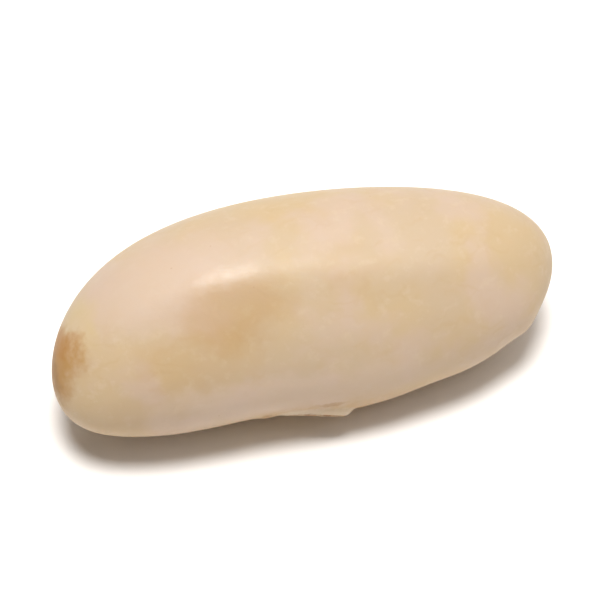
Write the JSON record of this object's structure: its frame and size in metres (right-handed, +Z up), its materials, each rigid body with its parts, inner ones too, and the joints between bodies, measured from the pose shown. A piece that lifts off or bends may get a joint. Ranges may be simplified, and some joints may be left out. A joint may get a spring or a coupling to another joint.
{
  "type": "cannellini bean",
  "caption": "Dry white kidney-shaped bean lying on one face, with a blunt broad end, a slimmer end and a raised oval scar low on the belly side.",
  "frame": {"origin": "on the floor, under the middle of the bean's bounding box", "axes": "+X along the length toward the slimmer end, +Y toward the raised back, away from the belly scar, +Z up"},
  "size_m": [0.0176, 0.0074, 0.0068],
  "materials": {
    "seed_coat": "satin"
  },
  "bodies": {
    "root": {"bean": "seed_coat"}
  },
  "joints": []
}
